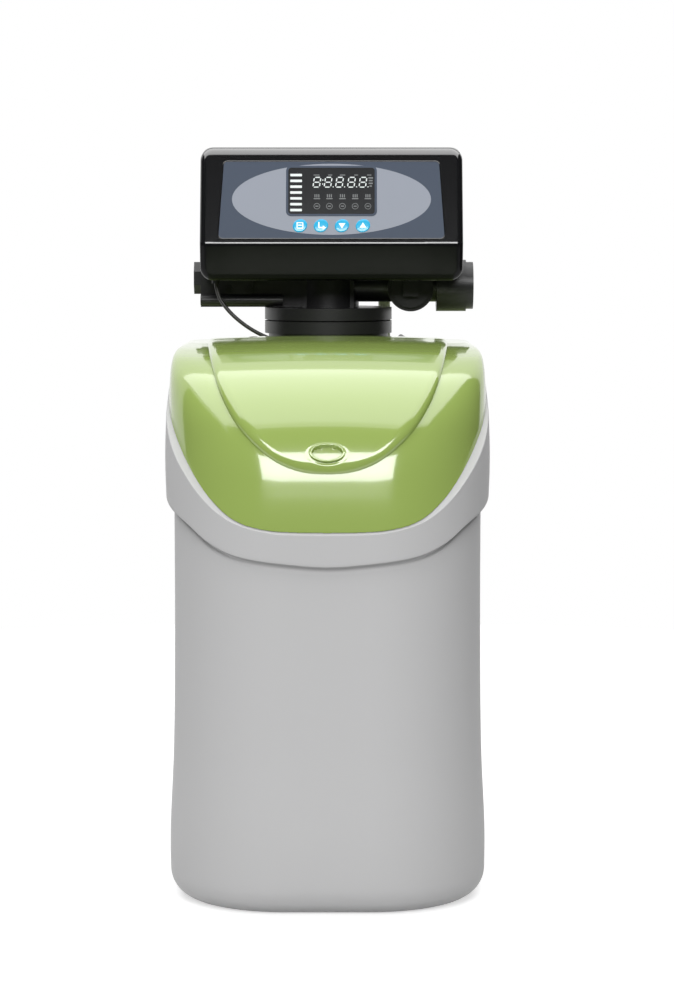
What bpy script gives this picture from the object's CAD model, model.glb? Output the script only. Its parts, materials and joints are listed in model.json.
import json
import math

import bmesh
import bpy
import numpy as np
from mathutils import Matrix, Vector


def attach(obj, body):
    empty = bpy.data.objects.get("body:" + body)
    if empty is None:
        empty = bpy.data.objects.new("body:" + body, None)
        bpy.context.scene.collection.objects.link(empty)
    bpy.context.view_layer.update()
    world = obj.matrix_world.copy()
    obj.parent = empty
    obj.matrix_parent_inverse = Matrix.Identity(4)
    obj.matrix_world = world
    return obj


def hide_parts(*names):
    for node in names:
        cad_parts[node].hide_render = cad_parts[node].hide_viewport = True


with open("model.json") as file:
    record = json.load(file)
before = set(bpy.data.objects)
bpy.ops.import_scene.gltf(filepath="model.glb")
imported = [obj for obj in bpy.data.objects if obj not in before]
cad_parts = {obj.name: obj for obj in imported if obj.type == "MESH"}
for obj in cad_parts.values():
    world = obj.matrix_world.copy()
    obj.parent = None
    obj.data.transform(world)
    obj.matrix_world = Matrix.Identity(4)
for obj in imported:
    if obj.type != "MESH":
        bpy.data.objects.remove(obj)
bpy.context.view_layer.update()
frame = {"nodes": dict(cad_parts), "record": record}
nodes = frame["nodes"]
scene = bpy.context.scene

MM = 0.001

# Sizes in millimetres, as the part's source has them
HALF_WIDTH = 110.8
HALF_DEPTH = 205.0
CORNER = 80.0
WALL = 3.0
FLOOR = 4.0
TUB_RIM = 388.0
FOOT_SWELL = 3.9
FOOT_ROUND = 20.0
BELT_SWELL = 6.5
BELT_FRONT_TOP = 273.0
BELT_FRONT_FOOT = 247.0
BELT_REAR_FOOT = 325.0
HOOD_GROW = 3.8
HOOD_SKIRT = 240.0
HOOD_TOP = 398.5
HOOD_SETBACK = 190.0
HOOD_SHOULDER = 10.6
DECK_Z = 392.0
DECK_FRONT = 5.0
DECK_HALF = 110.0
OPENING_REAR = -9.0
SLOT_DEPTH = 9.0
NECK_HOLE = 45.2
LID_HALF = 90.0
LID_LENGTH = 197.0
LID_LEDGE = 12.0
LID_THICKNESS = 3.0
LID_CROWN = 2.3
LID_LEAN = math.atan2(118.2, 157.6)
LID_REAR_UP = 93.9
LID_ROLL = 8.5
HINGE_Y = -16.0
HINGE_Z = 396.0
HINGE_SPREAD = 55.0
TANK_Y = 92.0
SLACK = 0.3
ACROSS = np.array([1.0, 0.0, 0.0])
SHELL_ANGLE = 40.0
TRIM_ANGLE = 60.0

tub_shares = ((0.0, 0.8), (0.1, 1.0), (0.28, 0.3), (0.5, 0.0), (0.75, 0.0), (1.0, 0.0))
belt_shares = ((0.6, 0.5), (0.7, 0.75), (0.82, 1.0), (0.95, 0.77), (1.03, 0.68))
belt_top_shares = (
    (-1.06, -0.06), (-1.0, 0.026), (-0.93, 0.165), (-0.78, 0.417), (-0.634, 0.635),
    (-0.488, 0.79), (-0.293, 0.93), (-0.1, 0.99), (0.1, 1.0), (1.1, 1.0),
)
belt_foot_shares = (
    (-1.06, -0.05), (-1.0, 0.03), (-0.93, 0.15), (-0.87, 0.27), (-0.73, 0.41),
    (-0.585, 0.525), (-0.39, 0.65), (0.0, 0.83), (1.06, 1.0),
)
hood_shares = (
    (0.0, 0.0, 0.0, 1.0), (0.2, 0.0, 0.0, 1.0), (0.38, 0.025, 0.0, 1.0), (0.555, 0.067, 0.0, 0.95),
    (0.707, 0.146, 0.0, 0.77), (0.845, 0.284, 0.0, 0.55), (0.934, 0.468, 0.06, 0.37),
    (0.978, 0.668, 0.28, 0.25), (1.0, 0.937, 1.0, 0.17),
)
lid_edge_shares = (
    (1.0, 0.49), (0.984, 0.27), (0.955, 0.1), (0.921, -0.055), (0.87, -0.19), (0.795, -0.3), (0.69, -0.394),
    (0.56, -0.463), (0.41, -0.514), (0.25, -0.541), (0.0, -0.552),
)

# Camera, in metres and degrees
CAMERA_DOWN = 5.18
camera_data = bpy.data.cameras.new("photo_camera")
camera_data.lens = 113.54
camera_data.sensor_width = 36.0
camera_data.clip_end = 50.0
camera = bpy.data.objects.new("photo_camera", camera_data)
camera.location = (0.00685, -2.4, 0.495)
camera.rotation_euler = (math.radians(90.0 - CAMERA_DOWN), 0.0, 0.0)
scene.collection.objects.link(camera)
scene.camera = camera
scene.view_settings.view_transform = "Standard"


# Curves and outlines

def through(points, count):
    """A smooth curve through points: cubic pieces over chord length, each point's slope from its neighbours."""
    points = np.asarray(points, float)
    steps = np.linalg.norm(np.diff(points, axis=0), axis=1)
    knots = np.concatenate([[0.0], np.cumsum(steps)])
    slopes = np.gradient(points, knots, axis=0)
    at = np.linspace(0.0, knots[-1], count)
    piece = np.clip(np.searchsorted(knots, at, side="right") - 1, 0, len(knots) - 2)
    span = (knots[piece + 1] - knots[piece])[:, None]
    t = (at - knots[piece])[:, None] / span
    return (
        (2 * t**3 - 3 * t**2 + 1) * points[piece] + (t**3 - 2 * t**2 + t) * span * slopes[piece]
        + (3 * t**2 - 2 * t**3) * points[piece + 1] + (t**3 - t**2) * span * slopes[piece + 1]
    )


def smoothstep(x):
    """0 below 0, 1 above 1, and 3x^2 - 2x^3 between."""
    x = np.clip(x, 0.0, 1.0)
    return x * x * (3 - 2 * x)


def outline_frame(corner_angles, straight=28, side=60):
    """Round an oblong with rounded corners, anticlockwise from the rear's middle: where the corner centre is, as
    shares of its own place, and the way out from it. A point is share * (half size - radius) + radius * way."""
    kx, ky, nx, ny = [], [], [], []

    def add(x0, y0, x1, y1, a0, a1, count):
        s = np.linspace(0.0, 1.0, count, endpoint=False)
        kx.append(x0 + (x1 - x0) * s)
        ky.append(y0 + (y1 - y0) * s)
        angle = np.radians(a0 + (a1 - a0) * s)
        nx.append(np.cos(angle))
        ny.append(np.sin(angle))

    def corner(x, y, start):
        angle = np.radians(start + corner_angles[start])
        kx.append(np.full(len(angle), float(x)))
        ky.append(np.full(len(angle), float(y)))
        nx.append(np.cos(angle))
        ny.append(np.sin(angle))

    add(0, 1, -1, 1, 90, 90, straight)
    corner(-1, 1, 90)
    add(-1, 1, -1, -1, 180, 180, side)
    corner(-1, -1, 180)
    add(-1, -1, 1, -1, 270, 270, 2 * straight)
    corner(1, -1, 270)
    add(1, -1, 1, 1, 0, 0, side)
    corner(1, 1, 0)
    add(1, 1, 0, 1, 90, 90, straight)
    return [np.concatenate(values) for values in (kx, ky, nx, ny)]


def plain_corners(count):
    angles = np.linspace(0.0, 90.0, count, endpoint=False)
    return {start: angles for start in (0, 90, 180, 270)}


# Meshes

MERGE_WITHIN, DROP_BELOW = 1e-6, 1e-7


def add_object(name, data):
    piece = bpy.data.objects.new(name, data)
    scene.collection.objects.link(piece)
    return piece


def quads(rows, columns, closed=False):
    """Faces of a grid of rows by columns, the last column joined to the first if closed."""
    r = np.arange(rows - 1)[:, None]
    c = np.arange(columns if closed else columns - 1)[None, :]
    n = (c + 1) % columns
    faces = np.stack([r * columns + c, r * columns + n, (r + 1) * columns + n, (r + 1) * columns + c], axis=-1)
    return faces.reshape(-1, 4)


def finish_piece(piece, body, replaced=()):
    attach(piece, body)
    if replaced:
        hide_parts(*replaced)
    return piece


def mesh_piece(name, points, faces, material, body, slot, replaced=(), angle=35.0):
    """A piece from points in millimetres: doubles merged, faces turned outwards, smooth below the angle."""
    mesh = bpy.data.meshes.new(name)
    mesh.from_pydata((np.asarray(points).reshape(-1, 3) * MM).tolist(), [], [list(map(int, f)) for f in faces])
    work = bmesh.new()
    work.from_mesh(mesh)
    bmesh.ops.remove_doubles(work, verts=work.verts, dist=MERGE_WITHIN)
    bmesh.ops.dissolve_degenerate(work, edges=work.edges, dist=DROP_BELOW)
    bmesh.ops.recalc_face_normals(work, faces=work.faces)
    work.to_mesh(mesh)
    work.free()
    mesh.materials.append(material)
    mesh.shade_smooth()
    mesh.set_sharp_from_angle(angle=math.radians(angle))
    return finish_piece(add_object(name, mesh), body, replaced)


def thicken(piece, thickness):
    """A wall of the thickness in millimetres, inwards from the surface."""
    modifier = piece.modifiers.new("wall", "SOLIDIFY")
    modifier.thickness = thickness * MM
    modifier.offset = -1.0
    modifier.use_even_offset = True


def grid_piece(name, grid, material, body, slot, closed=False, **options):
    grid = np.asarray(grid, float)
    return mesh_piece(name, grid, quads(grid.shape[0], grid.shape[1], closed), material, body, slot, **options)


def joined(parts):
    """Several (points, faces) as one."""
    points, faces, start = [], [], 0
    for part_points, part_faces in parts:
        part_points = np.asarray(part_points, float).reshape(-1, 3)
        points.append(part_points)
        faces += [[int(i) + start for i in face] for face in part_faces]
        start += len(part_points)
    return np.concatenate(points), faces


def prism(outline, height, place, across, up, out):
    """A flat outline of (u, v) points, carried from the plane by height along out."""
    outline = np.asarray(outline, float)
    base = place + outline[:, :1] * across + outline[:, 1:] * up
    count = len(outline)
    points = np.concatenate([base, base + height * out])
    ring = np.arange(count)
    after = (ring + 1) % count
    faces = np.stack([ring, after, after + count, ring + count], axis=1).tolist()
    faces += [ring[::-1].tolist(), (ring + count).tolist()]
    return points, faces


# Materials

def feed(tree, socket, value):
    """A value, or another node's output, into a socket."""
    if isinstance(value, bpy.types.NodeSocket):
        tree.links.new(value, socket)
    else:
        socket.default_value = value


def add_node(tree, kind, inputs=None, **settings):
    node = tree.nodes.new("ShaderNode" + kind)
    for label, value in settings.items():
        setattr(node, label, value)
    for label, value in (inputs or {}).items():
        feed(tree, node.inputs[label], value)
    return node


def math_node(tree, operation, first, second):
    return add_node(tree, "Math", {0: first, 1: second}, operation=operation).outputs[0]


def scale_node(tree, colour, factor):
    return add_node(tree, "VectorMath", {0: colour, "Scale": factor}, operation="SCALE").outputs[0]


def mix_node(tree, factor, first, second):
    node = add_node(tree, "Mix", {"Factor": factor, "A": first, "B": second}, data_type="RGBA")
    return node.outputs["Result"]


def noise_node(tree, place, scale, detail, roughness=0.5):
    inputs = {"Vector": place, "Scale": scale, "Detail": detail, "Roughness": roughness}
    return add_node(tree, "TexNoise", inputs).outputs["Fac"]


def new_group(name, inputs, outputs):
    """A node group. A socket with four values, or with the name Colour, is a colour."""
    tree = bpy.data.node_groups.new(name, "ShaderNodeTree")
    for label, value in inputs.items():
        kind = "NodeSocketColor" if isinstance(value, tuple) else "NodeSocketFloat"
        tree.interface.new_socket(label, in_out="INPUT", socket_type=kind).default_value = value
    for label in outputs:
        kind = "NodeSocketColor" if label == "Colour" else "NodeSocketFloat"
        tree.interface.new_socket(label, in_out="OUTPUT", socket_type=kind)
    given, out = tree.nodes.new("NodeGroupInput"), tree.nodes.new("NodeGroupOutput")
    return tree, given.outputs, out.inputs


PATCH_DETAIL, GRAIN_DETAIL, GRAIN_ROUGHNESS = 3.0, 2.0, 0.6
DUST_POWER, DUST_ROUGHNESS = 3.0, 0.4


def make_moulded_skin():
    """Moulded plastic: slow drifts of shade and gloss, a fine grain, and dust that grows with the cube of how far
    a face turns up."""
    tree, given, out = new_group(
        "moulded_skin",
        {"Colour": (0.5, 0.5, 0.5, 1.0), "Dust Colour": (0.6, 0.6, 0.58, 1.0), "Shade Spread": 0.05,
         "Patch Scale": 6.0, "Grain Scale": 900.0, "Roughness": 0.4, "Roughness Spread": 0.06, "Dust": 0.0},
        ("Colour", "Roughness", "Height"),
    )
    place = add_node(tree, "TexCoord").outputs["Object"]
    patches = noise_node(tree, place, given["Patch Scale"], PATCH_DETAIL)
    grain = noise_node(tree, place, given["Grain Scale"], GRAIN_DETAIL, GRAIN_ROUGHNESS)
    drift = math_node(tree, "SUBTRACT", patches, 0.5)
    shade = math_node(tree, "ADD", math_node(tree, "MULTIPLY", drift, given["Shade Spread"]), 1.0)
    normal = add_node(tree, "SeparateXYZ", {0: add_node(tree, "NewGeometry").outputs["Normal"]})
    upward = math_node(tree, "POWER", math_node(tree, "MAXIMUM", normal.outputs["Z"], 0.0), DUST_POWER)
    dust = math_node(tree, "MULTIPLY", math_node(tree, "MULTIPLY", upward, patches), given["Dust"])
    uneven = math_node(tree, "MULTIPLY", drift, given["Roughness Spread"])
    rough = math_node(tree, "ADD", given["Roughness"], uneven)
    shaded = scale_node(tree, given["Colour"], shade)
    feed(tree, out["Colour"], mix_node(tree, dust, shaded, given["Dust Colour"]))
    dulled = math_node(tree, "MULTIPLY", dust, DUST_ROUGHNESS)
    feed(tree, out["Roughness"], math_node(tree, "ADD", rough, dulled))
    feed(tree, out["Height"], grain)
    return tree


FIBRE_LEAN, FIBRE_DISTORTION = 55.0, 0.6


def make_wound_fibre():
    """Fibre wound both ways round an upright shell: two slanted families of stripes, a little uneven."""
    tree, given, out = new_group(
        "wound_fibre",
        {"Colour": (0.2, 0.3, 0.5, 1.0), "Gap Colour": (0.1, 0.15, 0.25, 1.0), "Stripe Scale": 120.0},
        ("Colour", "Height"),
    )
    place = add_node(tree, "TexCoord").outputs["Object"]
    bands = []
    for lean in (FIBRE_LEAN, -FIBRE_LEAN):
        turn = add_node(tree, "Mapping", {"Rotation": (0.0, math.radians(lean), 0.0), "Vector": place})
        wave = {"Distortion": FIBRE_DISTORTION, "Scale": given["Stripe Scale"], "Vector": turn.outputs["Vector"]}
        bands.append(add_node(tree, "TexWave", wave).outputs["Fac"])
    height = math_node(tree, "MULTIPLY", *bands)
    feed(tree, out["Colour"], mix_node(tree, height, given["Gap Colour"], given["Colour"]))
    feed(tree, out["Height"], height)
    return tree


moulded_skin = make_moulded_skin()
wound_fibre = make_wound_fibre()


def plain_material(name, roughness, metallic, coat, coat_roughness, specular):
    material = bpy.data.materials.new(name)
    material.use_nodes = True
    tree = material.node_tree
    shader = tree.nodes["Principled BSDF"]
    for label, value in (("Roughness", roughness), ("Metallic", metallic), ("Coat Weight", coat),
                         ("Coat Roughness", coat_roughness), ("Specular IOR Level", specular)):
        shader.inputs[label].default_value = value
    return material, tree, shader


def add_bump(tree, shader, height, distance, strength):
    bump = add_node(tree, "Bump", {"Strength": strength, "Distance": distance, "Height": height})
    feed(tree, shader.inputs["Normal"], bump.outputs["Normal"])


COAT_ROUGHNESS, GRAIN_RELIEF, FIBRE_RELIEF = 0.05, 0.0002, 0.0004


def moulded(name, colour, roughness=0.4, spread=0.05, patch=6.0, grain=900.0, bump=0.15, rough_spread=0.06,
            dust=0.0, metallic=0.0, coat=0.0, specular=0.5, glow=0.0, fold_shade=0.0):
    material, tree, shader = plain_material(name, roughness, metallic, coat, COAT_ROUGHNESS, specular)
    values = {"Colour": (*colour, 1.0), "Shade Spread": spread, "Patch Scale": patch, "Grain Scale": grain,
              "Roughness": roughness, "Roughness Spread": rough_spread, "Dust": dust}
    skin = add_node(tree, "Group", node_tree=moulded_skin)
    for label, value in values.items():
        skin.inputs[label].default_value = value
    shaded = skin.outputs["Colour"]
    if fold_shade:
        fold = add_node(tree, "Attribute", attribute_name="fold").outputs["Fac"]
        kept = math_node(tree, "SUBTRACT", 1.0, math_node(tree, "MULTIPLY", fold, fold_shade))
        shaded = scale_node(tree, shaded, kept)
    feed(tree, shader.inputs["Base Color"], shaded)
    feed(tree, shader.inputs["Roughness"], skin.outputs["Roughness"])
    if glow:
        feed(tree, shader.inputs["Emission Color"], skin.outputs["Colour"])
        shader.inputs["Emission Strength"].default_value = glow
    add_bump(tree, shader, skin.outputs["Height"], GRAIN_RELIEF, bump)
    return material


POLISH_FROM, POLISH_TO = 0.1, 0.35


def polish_top(material, weight, index):
    """A glossy coat on the faces that look upwards, where hands and cloths have polished the case."""
    tree = material.node_tree
    shader = tree.nodes["Principled BSDF"]
    split = add_node(tree, "SeparateXYZ", {0: add_node(tree, "TexCoord").outputs["Normal"]})
    upward = add_node(tree, "MapRange", {"Value": split.outputs["Z"], "From Min": POLISH_FROM,
                                         "From Max": POLISH_TO, "To Min": 0.0, "To Max": weight})
    feed(tree, shader.inputs["Coat Weight"], upward.outputs["Result"])
    shader.inputs["Coat IOR"].default_value = index


tub_grey = moulded("tub_grey", (0.53, 0.53, 0.533), 0.5, 0.03, 5.0, 1100.0, 0.22, 0.05, dust=0.05, specular=0.25,
                    fold_shade=0.42)
hood_green = moulded("hood_green", (0.31, 0.42, 0.105), 0.16, 0.03, 5.0, 260.0, 0.03, 0.03, coat=0.9)
cover_black = moulded("cover_black", (0.006, 0.0062, 0.007), 0.2, 0.1, 8.0, 500.0, 0.04, 0.04, specular=0.12)
polish_top(cover_black, weight=1.0, index=1.9)
valve_black = moulded("valve_black", (0.017, 0.017, 0.018), 0.36, 0.15, 14.0, 1300.0, 0.25, 0.1, dust=0.015)
panel_slate = moulded("panel_slate", (0.06, 0.077, 0.113), 0.4, 0.04, 12.0, 1500.0, 0.05, 0.05, specular=0.15)
panel_pale = moulded("panel_pale", (0.3, 0.322, 0.38), 0.4, 0.04, 12.0, 1500.0, 0.05, 0.05, specular=0.15)
window_smoke = moulded("window_smoke", (0.02, 0.021, 0.023), 0.16, 0.08, 10.0, 800.0, 0.02, 0.04, coat=0.2)
led_white = moulded("led_white", (0.62, 0.66, 0.66), 0.4, 0.02, 20.0, 900.0, 0.02, glow=0.25)
led_dim = moulded("led_dim", (0.16, 0.17, 0.175), 0.4, 0.02, 20.0, 900.0, 0.02)
key_blue = moulded("key_blue", (0.005, 0.36, 0.62), 0.25, 0.06, 60.0, 900.0, 0.05, coat=0.4, glow=0.22)
icon_white = moulded("icon_white", (0.8, 0.88, 0.9), 0.4, 0.02, 30.0, 900.0, 0.02, glow=0.3)
pipe_white = moulded("pipe_white", (0.72, 0.72, 0.7), 0.42, 0.05, 9.0, 900.0, 0.12)
seal_rubber = moulded("seal_rubber", (0.02, 0.02, 0.02), 0.7, 0.15, 20.0, 1600.0, 0.3)
ceramic = moulded("ceramic", (0.72, 0.7, 0.64), 0.3, 0.05, 20.0, 1500.0, 0.08)
gear_nylon = moulded("gear_nylon", (0.7, 0.7, 0.64), 0.45, 0.05, 18.0, 1200.0, 0.12)
lead_sheath = moulded("lead_sheath", (0.025, 0.024, 0.022), 0.38, 0.2, 30.0, 1600.0, 0.2)
resin_amber = moulded("resin_amber", (0.5, 0.24, 0.05), 0.35, 0.5, 1200.0, 1400.0, 0.9, 0.2)
blackened_steel = moulded("blackened_steel", (0.05, 0.05, 0.052), 0.38, 0.12, 40.0, 1400.0, 0.2, 0.1, metallic=1.0)
cut_steel = moulded("cut_steel", (0.5, 0.5, 0.51), 0.32, 0.12, 40.0, 1400.0, 0.25, 0.15, metallic=1.0)
board_green = moulded("board_green", (0.02, 0.13, 0.05), 0.4, 0.5, 160.0, 1200.0, 0.3, 0.1)

tank_shell, tank_tree, tank_shader = plain_material("tank_shell", 0.3, 0.0, 0.5, 0.1, 0.5)
fibre = add_node(tank_tree, "Group", node_tree=wound_fibre)
fibre.inputs["Colour"].default_value = (0.16, 0.3, 0.46, 1.0)
fibre.inputs["Gap Colour"].default_value = (0.09, 0.18, 0.3, 1.0)
tank_tree.links.new(fibre.outputs["Colour"], tank_shader.inputs["Base Color"])
add_bump(tank_tree, tank_shader, fibre.outputs["Height"], FIBRE_RELIEF, 0.5)

SLOT_MATERIALS = {
    "tub_grey": tub_grey, "hood_green": hood_green, "valve_black": valve_black, "cover_black": cover_black,
    "panel_slate": panel_slate, "window_smoke": window_smoke, "key_blue": key_blue, "tank_shell": tank_shell,
    "resin_amber": resin_amber, "pipe_white": pipe_white, "steel": cut_steel, "ceramic": ceramic,
    "seal_rubber": seal_rubber, "gear_nylon": gear_nylon, "board_green": board_green, "lead_grey": lead_sheath,
}
node_slots = {row["node"]: row["material_slot"] for row in frame["record"]["subparts"]}
body_of = {member: body for body, members in frame["record"]["behaviour"]["bodies"].items() for member in members}
for label, node in nodes.items():
    node.data.materials.clear()
    node.data.materials.append(SLOT_MATERIALS[node_slots[label]] if label != "injector_screws" else blackened_steel)


# Supply lead in millimetres: the route's points, the put-away coil's turns, and the tail to the adapter

LEAD_RADIUS = 1.5
lead_route = [
    (-87, 50, 441.5), (-86, 49.5, 434), (-81, 48, 424.5), (-71.5, 46, 414.5), (-59, 42.5, 405.5),
    (-44, 37, 398.5), (-26, 30, 394.2), (-3, 24.5, 393.8), (23, 25, 393.8), (47, 34, 393.8), (64, 53, 393.8),
    (72, 79, 393.8), (73, 107, 393.8), (69, 135, 393.8), (64.5, 162, 393.9), (61, 187, 394.2),
    (59.5, 205, 395.2), (58.6, 214, 393.4), (58.3, 219.5, 384), (58, 221, 368), (58.3, 219.5, 330),
    (57.6, 218.5, 280), (58.4, 218, 224), (57.8, 218.5, 168), (58.4, 217.5, 112), (58, 219, 62),
    (57.8, 218, 32), (59, 220.5, 14), (59, 228.5, 4.5), (59, 240, 1.5), (59, 259, 1.5),
]
tail_route = [
    (13, 249, 5.5), (8, 240.5, 3.8), (0, 235.5, 2.6), (-11.5, 235.2, 2.4), (-22, 239.5, 3.2), (-32, 244.5, 5.2),
    (-42, 246, 8), (-50, 246, 8),
]
COIL_X, COIL_Y, COIL_OUTER, COIL_PITCH, COIL_LAYER_TURNS = 36.0, 262.0, 23.0, 4.0, 3
TURN_POINTS = 16


def coil_point(turns):
    """In by a steady rate, up a layer in half a turn, and out again. The control points stand out by as much as a
    spline of order 3 cuts inside them."""
    radius = COIL_OUTER - COIL_PITCH * min(turns, COIL_LAYER_TURNS)
    radius += COIL_PITCH * max(turns - COIL_LAYER_TURNS - 0.5, 0)
    radius *= 2.0 / (1.0 + math.cos(2 * math.pi / TURN_POINTS)) ** 0.5 / 2 ** 0.5
    climb = min(max(turns - COIL_LAYER_TURNS, 0) * 2, 1)
    height = LEAD_RADIUS + COIL_PITCH * (1 - math.cos(math.pi * climb)) / 2
    angle = 2 * math.pi * turns
    return COIL_X + radius * math.cos(angle), COIL_Y + radius * math.sin(angle), height


def cord_piece(name, route, radius, material, body, replaced):
    """A round section carried along one smooth spline with the route's points as its control points."""
    curve = bpy.data.curves.new(name, "CURVE")
    curve.dimensions = "3D"
    curve.bevel_depth = radius * MM
    curve.bevel_resolution = 4
    curve.resolution_u = 8
    curve.use_fill_caps = True
    spline = curve.splines.new("NURBS")
    spline.points.add(len(route) - 1)
    for point, (x, y, z) in zip(spline.points, route):
        point.co = (x * MM, y * MM, z * MM, 1.0)
    spline.order_u = 3
    spline.use_endpoint_u = True
    spline.use_smooth = True
    curve.materials.append(material)
    return finish_piece(add_object(name, curve), body, replaced)


coil_steps = int((2 * COIL_LAYER_TURNS + 0.5) * TURN_POINTS)
coil_route = [coil_point(step / TURN_POINTS) for step in range(coil_steps + 1)]
supply_lead = cord_piece("supply_lead", lead_route + coil_route + tail_route, LEAD_RADIUS, lead_sheath, "cabinet",
                         ("power_lead", "lead_coil", "lead_tail"))


# Cabinet tub with its belt

def share_curve(shares, across, low, high):
    """A smooth line through shares of a length and of the step from low to high."""
    points = through([(a * across, low + b * (high - low)) for a, b in shares], 400)
    return points[:, 0], points[:, 1]


belt_top_y, belt_top_z = share_curve(belt_top_shares, HALF_DEPTH, BELT_FRONT_TOP, TUB_RIM)
belt_foot_y, belt_foot_z = share_curve(belt_foot_shares, HALF_DEPTH, BELT_FRONT_FOOT, BELT_REAR_FOOT)
tub_z, tub_grow = share_curve(tub_shares, TUB_RIM, 0.0, FOOT_SWELL)
belt_z, belt_grow = share_curve(belt_shares, TUB_RIM, 0.0, BELT_SWELL)
belt_top_rise = through([(0, 0), (20, 0.2), (33, 0.7), (47, 1.5), (61, 1.6), (75, 1.4), (84, 1.6), (92, 2.9),
                         (100, 4.8), (108, 6.0), (130, 6.0)], 400)
belt_foot_rise = through([(0, 0.7), (12, 1.2), (25, 2.4), (35, 3.4), (47, 4.1), (68, 4.3), (84, 4.9), (97, 5.4),
                          (112, 6.0), (130, 6.0)], 400)
RISE_FRONT, RISE_FADE = 40.0, 100.0
STEP_HALF, BAND_BELOW, BAND_ABOVE = 1.2, 9.0, 5.0
RIM_ROUND, INNER_ROUND, LINE_PASSES = 0.9, 0.6, 12
GROOVE_DEPTH, GROOVE_DROP, GROOVE_HALF = 1.1, 2.6, 1.5
FOLD_DROP, FOLD_HALF = 1.6, 2.4


def front_rise(rise, x, y):
    """How much higher than its side view a line of the belt runs across the bowed front."""
    return np.interp(np.abs(x), rise[:, 0], rise[:, 1]) * smoothstep((-y - RISE_FRONT) / RISE_FADE)


def add_fold(piece):
    """An attribute that is 1 in the fold under the belt and fades to 0 away from it, for the tub's own material."""
    mesh = piece.data
    places = np.empty(len(mesh.vertices) * 3)
    mesh.vertices.foreach_get("co", places)
    x, y, z = places.reshape(-1, 3).T / MM
    foot = np.interp(y, belt_foot_y, belt_foot_z) + front_rise(belt_foot_rise, x, y)
    layer = mesh.attributes.new("fold", "FLOAT", "POINT")
    layer.data.foreach_set("value", np.exp(-(((z - foot + FOLD_DROP) / FOLD_HALF) ** 2)).astype(np.float32))


def build_tub():
    """Rows round the oblong: a closed floor, a rounded foot, the side with the belt standing off it by a soft step
    that follows the belt's lower line, the rim along the belt's upper line, and the same again inside."""
    kx, ky, nx, ny = outline_frame(plain_corners(40))
    rows = []

    def x_at(grow):
        return kx * (HALF_WIDTH - CORNER) + (CORNER + grow) * nx

    def y_at(grow):
        return ky * (HALF_DEPTH - CORNER) + (CORNER + grow) * ny

    def ring(grow, z, share=1.0):
        x = x_at(grow)
        rows.append(np.stack([x * share, y_at(grow) * share, z * np.ones_like(x)], axis=-1))

    def plain_grow(z):
        return np.interp(z, tub_z, tub_grow)

    def belt_line(line_y, line_z, first, inset, rise):
        """Height of a belt line round the tub, at the place where the belt's own face crosses it."""
        z = first * np.ones_like(kx)
        for _ in range(LINE_PASSES):
            grow = np.interp(z, belt_z, belt_grow) if inset == 0.0 else -inset
            z = np.interp(y_at(grow), line_y, line_z) + front_rise(rise, x_at(grow), y_at(grow))
        return z

    foot = belt_line(belt_foot_y, belt_foot_z, BELT_REAR_FOOT, 0.0, belt_foot_rise)
    rim = belt_line(belt_top_y, belt_top_z, TUB_RIM, 0.0, belt_top_rise)
    inner_rim = belt_line(belt_top_y, belt_top_z, TUB_RIM, WALL, belt_top_rise)

    def outer_grow(z):
        plain, proud = plain_grow(z), np.interp(z, belt_z, belt_grow)
        step = plain + (proud - plain) * smoothstep((z - foot + STEP_HALF) / (2 * STEP_HALF))
        groove = GROOVE_DEPTH * np.exp(-(((z - foot + GROOVE_DROP) / GROOVE_HALF) ** 2))
        return np.maximum(plain, step) - groove

    foot_grow = plain_grow(0.0)
    # The floor from its middle outwards, then the rounded foot
    for share in (0.0, 0.3, 0.6, 0.85):
        ring(foot_grow - FOOT_ROUND, 0.0, share)
    for angle in np.radians(np.linspace(0.0, 90.0, 14)):
        z = FOOT_ROUND * (1 - math.cos(angle))
        ring(plain_grow(z) - FOOT_ROUND * (1 - math.sin(angle)), z)
    # The side up to the belt, a fine band of rows over its step, and the belt's own face
    for share in np.linspace(0.0, 1.0, 34)[1:]:
        z = FOOT_ROUND + share * (foot - BAND_BELOW - FOOT_ROUND)
        ring(outer_grow(z), z)
    for share in np.linspace(0.0, 1.0, 19)[1:]:
        z = foot - BAND_BELOW + share * (BAND_BELOW + BAND_ABOVE)
        ring(outer_grow(z), z)
    for share in np.linspace(0.0, 1.0, 26)[1:]:
        z = foot + BAND_ABOVE + share * (rim - RIM_ROUND - foot - BAND_ABOVE)
        ring(outer_grow(z), z)
    # The rim's outer and inner rounds, then down the inside and in over the floor
    top_grow = outer_grow(rim)
    for angle in np.radians(np.linspace(15.0, 90.0, 6)):
        ring(top_grow - RIM_ROUND + RIM_ROUND * math.cos(angle), rim - RIM_ROUND + RIM_ROUND * math.sin(angle))
    inner_grow = plain_grow(inner_rim) - WALL
    for angle in np.radians(np.linspace(90.0, 180.0, 5)):
        ring(inner_grow + INNER_ROUND + INNER_ROUND * math.cos(angle),
             inner_rim - INNER_ROUND + INNER_ROUND * math.sin(angle))
    low = FLOOR + FOOT_ROUND - WALL
    for share in np.linspace(0.0, 1.0, 40)[1:]:
        z = inner_rim - INNER_ROUND + share * (low - inner_rim + INNER_ROUND)
        ring(plain_grow(z) - WALL, z)
    for angle in np.radians(np.linspace(80.0, 0.0, 9)):
        z = FLOOR + (FOOT_ROUND - WALL) * (1 - math.cos(angle))
        ring(plain_grow(z) - WALL - (FOOT_ROUND - WALL) * (1 - math.sin(angle)), z)
    for share in (0.6, 0.3, 0.0):
        ring(foot_grow - FOOT_ROUND, FLOOR, share)
    return grid_piece("cabinet_shell", rows, tub_grey, "cabinet", "tub_grey", closed=True,
                      replaced=("cabinet_tub",), angle=SHELL_ANGLE)


add_fold(build_tub())

# Hood: its form is an oblong whose width, depth and place change with height

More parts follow.
